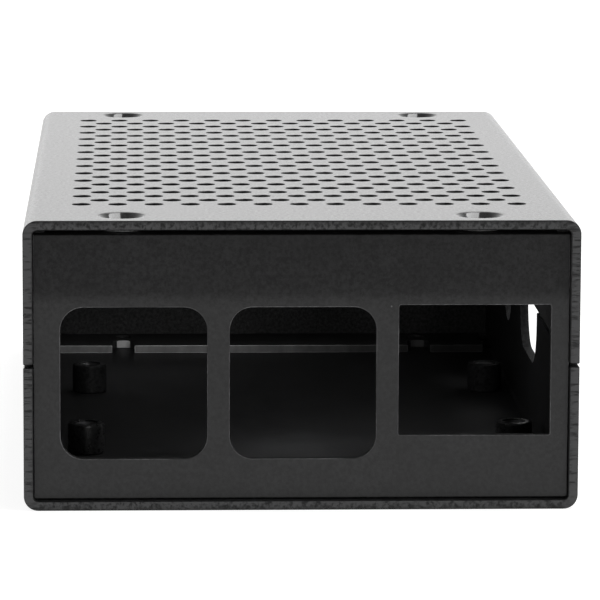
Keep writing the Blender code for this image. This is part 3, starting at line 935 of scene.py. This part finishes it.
def add_surroundings():
    """World light: a pale backdrop behind the case, a darker room before it."""
    world = bpy.data.worlds.new("surroundings")
    world.use_nodes = True
    tree = world.node_tree
    add = tree.nodes.new
    link = tree.links.new
    place, split, path = (add(kind) for kind in ("ShaderNodeTexCoord", "ShaderNodeSeparateXYZ",
                                                 "ShaderNodeLightPath"))
    depth, height = (add("ShaderNodeMapRange") for _ in range(2))
    blend, seen = (add("ShaderNodeMix") for _ in range(2))
    depth.interpolation_type = "SMOOTHSTEP"
    settings = ((depth, (*BACKDROP, FRONT_LIGHT, BACK_LIGHT)), (height, (*OVERHEAD, 0.0, 1.0)))
    for node, values in settings:
        for key, value in zip(("From Min", "From Max", "To Min", "To Max"), values):
            node.inputs[key].default_value = value
    blend.inputs[3].default_value = LIGHT_ABOVE
    seen.inputs[3].default_value = 1.0
    link(place.outputs["Generated"], split.inputs[0])
    link(split.outputs["Y"], depth.inputs["Value"])
    link(split.outputs["Z"], height.inputs["Value"])
    link(height.outputs["Result"], blend.inputs[0])
    link(depth.outputs["Result"], blend.inputs[2])
    link(path.outputs["Is Camera Ray"], seen.inputs[0])
    link(blend.outputs[0], seen.inputs[2])
    link(seen.outputs[0], tree.nodes["Background"].inputs["Strength"])
    tree.nodes["Background"].inputs["Color"].default_value = (1.0, 1.0, 1.0, 1.0)
    bpy.context.scene.world = world


def add_ground(name, low, high, z, material):
    """Flat rectangle of the stage."""
    shape = bmesh.new()
    size = (high[0] - low[0], high[1] - low[1])
    middle = ((low[0] + high[0]) / 2, (low[1] + high[1]) / 2, z)
    place = Matrix.Translation(middle) @ Matrix.Diagonal((*size, 1.0, 1.0))
    bmesh.ops.create_grid(shape, x_segments=1, y_segments=1, size=0.5, matrix=place)
    mesh = bpy.data.meshes.new(name)
    shape.to_mesh(mesh)
    shape.free()
    mesh.materials.append(material)
    ground = bpy.data.objects.new(name, mesh)
    bpy.context.scene.collection.objects.link(ground)
    return ground


def add_camera():
    """Camera at the photograph's viewing angle."""
    data = bpy.data.cameras.new("camera")
    data.sensor_width = 36.0
    data.lens = CAMERA_LENS
    data.clip_start = 0.01
    data.clip_end = 20.0
    camera = bpy.data.objects.new("camera", data)
    forward = Vector((math.sin(CAMERA_YAW) * math.cos(CAMERA_PITCH),
                      math.cos(CAMERA_YAW) * math.cos(CAMERA_PITCH), -math.sin(CAMERA_PITCH)))
    right = forward.cross(Vector((0.0, 0.0, 1.0))).normalized()
    up = right.cross(forward)
    right, up = (right * math.cos(CAMERA_ROLL) + up * math.sin(CAMERA_ROLL),
                 up * math.cos(CAMERA_ROLL) - right * math.sin(CAMERA_ROLL))
    turn = Matrix((right, up, -forward)).transposed()
    camera.matrix_world = Matrix.Translation(CAMERA_PLACE) @ turn.to_4x4()
    bpy.context.scene.collection.objects.link(camera)
    bpy.context.scene.camera = camera


class CASE_OT_stage(bpy.types.Operator):
    """Set up the camera, the floor, the surroundings and the lights"""

    bl_idname = "case.stage"
    bl_label = "Stage"

    def execute(self, context):
        """Make the stage."""
        add_camera()
        add_ground("floor", *FLOOR, floor_material("floor", colours().floor, FLOOR_GLOW))
        dark = add_ground("dark_floor", *DARK_FLOOR,
                          floor_material("dark_floor", colours().panel, DARK_GLOW))
        dark.visible_camera = False
        dark.visible_diffuse = False
        dark.visible_shadow = False
        add_surroundings()
        for softbox in SOFTBOXES:
            add_area_light(*softbox)
        for fill_light in FILL_LIGHTS:
            add_fill_light(*fill_light)
        context.scene.view_settings.view_transform = "Standard"
        return {"FINISHED"}


class CASE_OT_cover(bpy.types.Operator):
    """Make the perforated cover"""

    bl_idname = "case.cover"
    bl_label = "Perforated cover"

    def execute(self, context):
        """Make the piece."""
        finish_piece("perforated_cover", cover_shape(), shell_materials(matte_coat()),
                     "top_cover")
        return {"FINISHED"}


class CASE_OT_tray(bpy.types.Operator):
    """Make the notched tray"""

    bl_idname = "case.tray"
    bl_label = "Tray"

    def execute(self, context):
        """Make the piece."""
        inside = shared("tray_inner_coat", coat_material, colours().coat, *TRAY_FINISH)
        finish_piece("notched_tray", tray_shape(), shell_materials(inside), "bottom_tray")
        return {"FINISHED"}


class CASE_OT_panels(bpy.types.Operator):
    """Make the front panel with its port openings and the plain rear panel"""

    bl_idname = "case.panels"
    bl_label = "End panels"

    def execute(self, context):
        """Make the two panels."""
        for node, side, name in (("front_panel", -1, "port_panel"),
                                 ("rear_panel", 1, "plain_panel")):
            finish_piece(name, panel_shape(node, side, node == "front_panel"),
                         panel_materials(), node)
        return {"FINISHED"}


class CASE_OT_standoffs(bpy.types.Operator):
    """Make the four board standoffs"""

    bl_idname = "case.standoffs"
    bl_label = "Board standoffs"

    def execute(self, context):
        """Make the standoffs."""
        # painted light: the front pair takes a lit, glossier copy of the coat and the rear pair a
        # shaded, duller and paler copy
        lit_front_coat = shared("standoff_coat", coat_material, colours().panel, *LIT_FRONT_POST_FINISH)
        shaded_rear_coat = shared("rear_standoff_coat", coat_material, colours().coat,
                           *SHADED_REAR_POST_FINISH)
        thread = shared("cut_thread", metal_material, colours().thread, THREAD_ROUGHNESS)
        for place in PLACES:
            node = f"standoff_{place}"
            coat = shaded_rear_coat if place.startswith("rear") else lit_front_coat
            finish_piece(f"tapped_{node}", standoff_shape(node), (coat, thread), node)
        return {"FINISHED"}


class CASE_OT_press_nuts(bpy.types.Operator):
    """Make the four press nuts of the upper flanges"""

    bl_idname = "case.press_nuts"
    bl_label = "Press nuts"

    def execute(self, context):
        """Make the nuts."""
        zinc = shared("zinc_plate", metal_material, colours().steel, ZINC_ROUGHNESS)
        thread = shared("cut_thread", metal_material, colours().thread, THREAD_ROUGHNESS)
        for place in PLACES:
            node = f"press_nut_{place}"
            finish_piece(f"tapped_{node}", nut_shape(node), (zinc, thread), node)
        return {"FINISHED"}


class CASE_PT_sidebar(bpy.types.Panel):
    """Lists the case's pieces in the sidebar"""

    bl_idname = "CASE_PT_sidebar"
    bl_label = "Case"
    bl_space_type = "VIEW_3D"
    bl_region_type = "UI"
    bl_category = "Case"

    def draw(self, context):
        """Draw the buttons and the sizes."""
        for operator in OPERATORS:
            self.layout.operator(operator.bl_idname)
        for group in (context.scene.case_sizes, context.scene.case_colours):
            for key in group.bl_rna.properties.keys():
                if key not in ("rna_type", "name"):
                    self.layout.prop(group, key)


OPERATORS = (CASE_OT_stage, CASE_OT_cover, CASE_OT_tray, CASE_OT_panels, CASE_OT_standoffs,
             CASE_OT_press_nuts)
CLASSES = (CaseSizes, CaseColours, *OPERATORS, CASE_PT_sidebar)


def register():
    """Register the classes and put the settings on the scene."""
    for cls in CLASSES:
        bpy.utils.register_class(cls)
    bpy.types.Scene.case_sizes = bpy.props.PointerProperty(type=CaseSizes)
    bpy.types.Scene.case_colours = bpy.props.PointerProperty(type=CaseColours)


def unregister():
    """Take the settings and classes away again."""
    del bpy.types.Scene.case_sizes
    del bpy.types.Scene.case_colours
    for cls in reversed(CLASSES):
        bpy.utils.unregister_class(cls)


def corners(box):
    """A box as two plain lists of numbers."""
    return [list(corner) for corner in box]


def main():
    """Dress the case."""
    register()
    bpy.ops.case.stage()
    bpy.ops.case.cover()
    bpy.ops.case.tray()
    bpy.ops.case.panels()
    bpy.ops.case.standoffs()
    bpy.ops.case.press_nuts()


if __name__ == "__main__":
    main()
